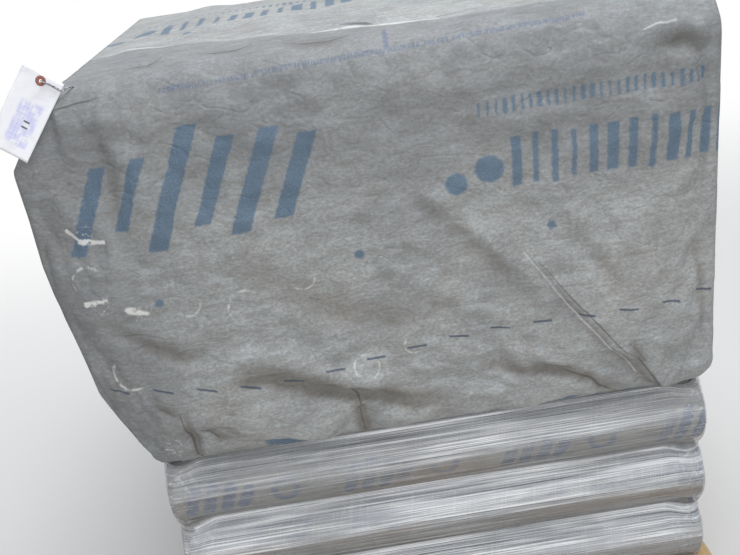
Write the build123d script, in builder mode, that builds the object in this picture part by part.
# Covered pallet load of roofing underlayment rolls, in millimetres.
# X runs along the rolls, Y from the front face to the back, and Z up.
# The origin is the middle of the pallet's underside.

import os
from math import asin, cos, degrees, radians, sin, tan

from build123d import *

os.makedirs("parts", exist_ok=True)

# Rolls: a sheet 48 inches wide, wound on a paper core
roll_length = 1219.0
roll_diameter = 170.0
core_bore = 76.0
roll_edge = 7.0
roll_gap = 0.6
rolls_deep = 6
layers_high = 8
layers_in_film = 3

# Pallet: two-way, with three plain stringers, made to stand out a little all round the load
pallet_end_margin = 38.0
pallet_side_margin = 22.0
stringer_width = 38.0
stringer_height = 89.0
board_thickness = 16.0
lead_board_width = 140.0
deck_board_width = 89.0
deck_boards = 8
bottom_boards = 3
load_seat_gap = 0.3

# Stretch film: many turns pulled tight, which act as one skin
film_thickness = 1.0
film_gap = 0.3
film_fold_radius = 14.0
film_corner_radius = 9.0

# Cover sheet: thrown over the upper layers, slack at the sides, held at its hem
cover_thickness = 2.0
cover_slack = 4.0
cover_end_slack = 3.0
cover_top_gap = 0.3
cover_edge_radius = 82.0
cover_end_edge_radius = 11.0
cover_corner_radius = 10.0
cover_side_slope = 5.0
cover_end_slope = 3.5
hem_gap = 0.3

# Gathered fold of spare sheet at the cover's front left corner
ear_reach = 105.0
ear_foot_reach = 76.0
ear_root_depth = 170.0
ear_lip = 6.0
ear_top_drop = 16.0
ear_shoulder_drop = 140.0
ear_waist_drop = 400.0
ear_foot_drop = 640.0
ear_end_drop = 790.0
ear_top_setback = 38.0
ear_end_setback = 6.0

# Paper tag, leaning on the corner fold and tied on by a twist of film through its hole
tag_width = 79.0
tag_length = 159.0
tag_thickness = 0.8
tag_hole = 6.0
tag_washer = 19.0
tag_washer_thickness = 0.5
tag_hole_inset = 14.0
tag_turn = 37.0
tag_lean = 9.5
tag_hole_out = 14.0
tag_hole_rise = 14.0
tag_hole_setback = 25.6
tie_width = 3.2
tie_sides = 6
tie_gap = 0.3
tie_tail = 9.0
tie_seat_angle = 58.0

# Cutting outlines run past the solid that they cut, and a corner's round dies out just short of
# the flat faces beside it
run_out = 20.0
corner_ease = 0.4

# Places that follow from the sizes above
pitch = roll_diameter + roll_gap
roll_radius = roll_diameter / 2
pallet_length = roll_length + 2 * pallet_end_margin
pallet_width = rolls_deep * pitch - roll_gap + 2 * pallet_side_margin
deck_top = 2 * board_thickness + stringer_height
front_axis = (rolls_deep - 1) / 2 * pitch
first_axis = deck_top + load_seat_gap + roll_radius
hem_height = first_axis + (layers_in_film - 0.5) * pitch
top_axis = first_axis + (layers_high - 1) * pitch


def layer_height(layer):
    """Height of the roll axes in a layer, counted from 1 at the pallet."""
    return first_axis + (layer - 1) * pitch


def export(piece, name):
    piece.part.label = name
    export_step(piece.part, f"parts/{name}.step")


# Stringers stand on the bottom boards and run the length of the pallet
stringer_rows = [-(pallet_width - stringer_width) / 2, 0, (pallet_width - stringer_width) / 2]
for number, y in enumerate(stringer_rows, 1):
    with BuildPart() as stringer:
        with BuildSketch(Plane.XY.offset(board_thickness)):
            with Locations((0, y)):
                Rectangle(pallet_length, stringer_width)
        extrude(amount=stringer_height)
    export(stringer, f"stringer_{number}")


def board_places(count):
    """Middle and width of each board: wide lead boards at the ends, even gaps between."""
    inner = count - 2
    inner_width = deck_board_width if inner > 1 else lead_board_width
    free = pallet_length - 2 * lead_board_width - inner * inner_width
    space = free / (count - 1)
    places = [(-(pallet_length - lead_board_width) / 2, lead_board_width)]
    for index in range(inner):
        x = -pallet_length / 2 + lead_board_width + space + inner_width / 2
        places.append((x + index * (inner_width + space), inner_width))
    places.append(((pallet_length - lead_board_width) / 2, lead_board_width))
    return places


def lay_boards(kind, count, height):
    for number, (x, width) in enumerate(board_places(count), 1):
        with BuildPart() as board:
            with BuildSketch(Plane.XY.offset(height)):
                with Locations((x, 0)):
                    Rectangle(width, pallet_width)
            extrude(amount=board_thickness)
        export(board, f"{kind}_{number}")


lay_boards("deck_board", deck_boards, board_thickness + stringer_height)
lay_boards("bottom_board", bottom_boards, 0)

# Rolls that show: each has its bore and its softened outer edges
for layer in range(1, layers_in_film + 1):
    with BuildPart() as roll_layer:
        with BuildSketch(Plane.YZ.offset(-roll_length / 2)):
            with Locations((0, layer_height(layer))):
                with GridLocations(pitch, pitch, rolls_deep, 1):
                    Circle(roll_radius)
                    Circle(core_bore / 2, mode=Mode.SUBTRACT)
        extrude(amount=roll_length)
        rims = roll_layer.edges().filter_by(GeomType.CIRCLE)
        chamfer(rims.filter_by(lambda rim: rim.radius > core_bore), roll_edge)
    export(roll_layer, f"roll_layer_{layer}")

# Covered rolls: the layers that the sheet hides, as one plain core with the outer rolls' round
covered_depth = rolls_deep * pitch - roll_gap
covered_foot = top_axis - roll_radius - (layers_high - layers_in_film - 1) * pitch
with BuildPart() as covered_rolls:
    with BuildSketch(Plane.YZ.offset(-roll_length / 2)):
        with Locations((0, (covered_foot + top_axis + roll_radius) / 2)):
            RectangleRounded(covered_depth, top_axis + roll_radius - covered_foot, roll_radius)
    extrude(amount=roll_length)
    ends = covered_rolls.faces().filter_by(Axis.X)
    chamfer(ends.edges(), roll_edge)
export(covered_rolls, "covered_rolls")


def wrapped_side(radius, fold_radius, low_layer, high_layer):
    """Front outline of film pulled over stacked rolls, tucked in between them.

    The film follows each roll on one radius and crosses each groove on a small fold that is
    tangent to both rolls. It starts and ends at a groove's deepest line.
    """
    reach = radius + fold_radius
    wrap = degrees(asin(pitch / 2 / reach))
    fold_in = reach * cos(radians(wrap))
    for layer in range(low_layer, high_layer + 1):
        axis = (-front_axis, layer_height(layer))
        CenterArc(axis, radius, 180 + wrap, -2 * wrap)
        for side in (-1, 1):
            fold_axis = (-front_axis - fold_in, axis[1] + side * pitch / 2)
            start = wrap if side < 0 else -wrap
            CenterArc(fold_axis, fold_radius, start, -start)


# Stretch film: a band around the lower layers, open at its top and bottom
def film_block(skin):
    """Solid that the wrapped layers fill, out to a skin's distance from the rolls."""
    radius = roll_radius + skin
    fold = film_fold_radius - skin + film_gap
    wrap = asin(pitch / 2 / (radius + fold))
    inner_y = -front_axis - (radius + fold) * cos(wrap) + fold
    low = hem_height - layers_in_film * pitch
    with BuildPart() as block:
        with BuildSketch(Plane.YZ.offset(-roll_length / 2 - skin)):
            with BuildLine():
                wrapped_side(radius, fold, 1, layers_in_film)
                Line((inner_y, low), (0, low))
                Line((inner_y, hem_height), (0, hem_height))
                mirror(about=Plane.YZ)
            make_face()
        extrude(amount=roll_length + 2 * skin)
        with BuildSketch(Plane.XY):
            RectangleRounded(
                roll_length + 2 * skin,
                2 * (front_axis + radius),
                film_corner_radius + skin - film_gap - film_thickness,
            )
        extrude(amount=hem_height, mode=Mode.INTERSECT)
    return block.part


film_outside = film_block(film_gap + film_thickness)
film_inside = film_block(film_gap)
with BuildPart() as stretch_film:
    add(film_outside)
    add(film_inside, mode=Mode.SUBTRACT)
export(stretch_film, "stretch_film")


def crowned_side(half, foot, edge, slope, seat, seat_height):
    """Upright side, rounded edge and low crown, drawn from the side's foot to the middle.

    The crown leaves the rounded edge at a slope, on a line that passes over the seat.
    """
    shoulder = half - edge * (1 - sin(slope))
    shoulder_height = seat_height - (shoulder - seat) * tan(slope)
    side = Line((-half, foot), (-half, shoulder_height - edge * cos(slope)))
    rounding = JernArc(side @ 1, (0, 1), edge, degrees(slope) - 90)
    JernArc(rounding @ 1, rounding % 1, shoulder / sin(slope), -degrees(slope))


# Cover sheet: a cap that is open underneath, with its hem drawn into the groove above the film
def cover_block(skin, top, end):
    """Solid that the covered layers fill, out to the given distances from the rolls."""
    radius = roll_radius + skin
    fold = film_fold_radius - skin + cover_thickness
    wrap = asin(pitch / 2 / (radius + fold))
    fold_y = -front_axis - (radius + fold) * cos(wrap)
    tuck = degrees(asin(hem_gap / fold))
    low = hem_height + hem_gap
    low_axis = (-front_axis, layer_height(layers_in_film + 1))
    half_length = roll_length / 2 + end
    half_depth = front_axis + radius
    inset = cover_slack + cover_thickness - skin
    side_slope = radians(cover_side_slope)
    end_slope = radians(cover_end_slope)
    with BuildPart() as block:
        with BuildSketch(Plane.YZ.offset(-half_length - run_out)):
            with BuildLine():
                fold_axis = (fold_y, hem_height)
                hem = CenterArc(fold_axis, fold, tuck, degrees(wrap) - tuck)
                CenterArc(low_axis, radius, 180 + degrees(wrap), -degrees(wrap))
                crowned_side(
                    half_depth,
                    low_axis[1],
                    cover_edge_radius - inset,
                    side_slope,
                    front_axis,
                    top_axis + (roll_radius + top) / cos(side_slope),
                )
                Line((0, low), hem @ 0)
                mirror(about=Plane.YZ)
            make_face()
        extrude(amount=2 * (half_length + run_out))
        with BuildSketch(Plane.XZ.offset(-half_depth - run_out)):
            with BuildLine():
                crowned_side(
                    half_length,
                    low,
                    cover_end_edge_radius - inset,
                    end_slope,
                    roll_length / 2 - roll_edge,
                    top_axis + roll_radius + top / cos(end_slope),
                )
                Line((-half_length, low - run_out), (-half_length, low))
                Line((-half_length, low - run_out), (0, low - run_out))
                mirror(about=Plane.YZ)
            make_face()
        extrude(amount=2 * (half_depth + run_out), mode=Mode.INTERSECT)
        with BuildSketch(Plane.XY):
            RectangleRounded(
                2 * (half_length + corner_ease),
                2 * (half_depth + corner_ease),
                cover_corner_radius - inset,
            )
        extrude(amount=2 * top_axis, mode=Mode.INTERSECT)
    return block.part


cover_outside = cover_block(
    cover_slack + cover_thickness,
    cover_top_gap + cover_thickness,
    cover_end_slack + cover_thickness,
)
cover_inside = cover_block(cover_slack, cover_top_gap, cover_end_slack)

# Spare sheet stands out at the corner as a hollow-looking fold: flat with the front face, and
# coming back to the load's end behind it
cover_front = -front_axis - roll_radius - cover_slack - cover_thickness
cover_end = roll_length / 2 + cover_end_slack + cover_thickness
cover_top = top_axis + roll_radius + cover_top_gap + cover_thickness
ear_root = -cover_end + 2 * cover_corner_radius
ear_sections = [
    (ear_top_drop, ear_lip, ear_top_setback),
    (ear_shoulder_drop, ear_reach, 0),
    (ear_waist_drop, ear_reach, 0),
    (ear_foot_drop, ear_foot_reach, 0),
    (ear_end_drop, ear_lip, ear_end_setback),
]
with BuildPart() as ear:
    for drop, reach, setback in ear_sections:
        front = cover_front + setback
        back = cover_front + ear_lip + ear_root_depth * reach / ear_reach
        with BuildSketch(Plane.XY.offset(cover_top - drop)):
            with BuildLine():
                Polyline(
                    (ear_root, front),
                    (-cover_end - reach, front),
                    (-cover_end - reach, front + ear_lip),
                    (-cover_end, back + setback),
                    (ear_root, back + setback),
                    close=True,
                )
            make_face()
    loft(ruled=True)

with BuildPart() as cover_sheet:
    add(cover_outside)
    add(ear.part)
    add(cover_inside, mode=Mode.SUBTRACT)
export(cover_sheet, "cover_sheet")

# Tag: a card with a punched hole and a fibre washer on each side of it
hole_place = Vector(
    -cover_end - tag_hole_out,
    cover_front + tag_hole_setback,
    cover_top + tag_hole_rise,
)
tag_facing = Vector(0, -cos(radians(tag_lean)), sin(radians(tag_lean)))
tag_across = Vector(1, 0, 0).rotate(Axis((0, 0, 0), tag_facing), -tag_turn)
tag_plane = Plane(hole_place, x_dir=tag_across, z_dir=tag_facing)
with BuildPart() as hang_tag:
    with BuildSketch(tag_plane.offset(tag_washer_thickness)):
        with Locations((0, tag_hole_inset - tag_length / 2)):
            Rectangle(tag_width, tag_length)
    extrude(amount=tag_thickness)
    with BuildSketch(tag_plane):
        Circle(tag_washer / 2)
    extrude(amount=tag_thickness + 2 * tag_washer_thickness)
    with BuildSketch(tag_plane):
        Circle(tag_hole / 2)
    extrude(amount=tag_thickness + 2 * tag_washer_thickness, mode=Mode.SUBTRACT)
export(hang_tag, "hang_tag")

# Tie: a twist of film from the cover's rounded edge, over the tag's corner and through its hole
seat_angle = radians(tie_seat_angle)
seat_distance = cover_edge_radius + tie_gap + tie_width / 2
edge_axis_z = cover_top - cover_edge_radius
tag_face = tag_thickness + 2 * tag_washer_thickness + tie_gap + tie_width / 2
over_hole = hole_place + tag_facing * tag_face
over_edge = over_hole + tag_across * (tag_width / 2 + tie_width)
tie_foot = Vector(
    over_edge.X,
    cover_front + cover_edge_radius - seat_distance * cos(seat_angle),
    edge_axis_z + seat_distance * sin(seat_angle),
)
with BuildPart() as tag_tie:
    with BuildLine():
        route = Polyline(hole_place - tag_facing * tie_tail, over_hole, over_edge, tie_foot)
    with BuildSketch(Plane(route @ 0, x_dir=tag_across, z_dir=route % 0)):
        RegularPolygon(tie_width / 2, tie_sides)
    sweep(transition=Transition.RIGHT)
export(tag_tie, "tag_tie")
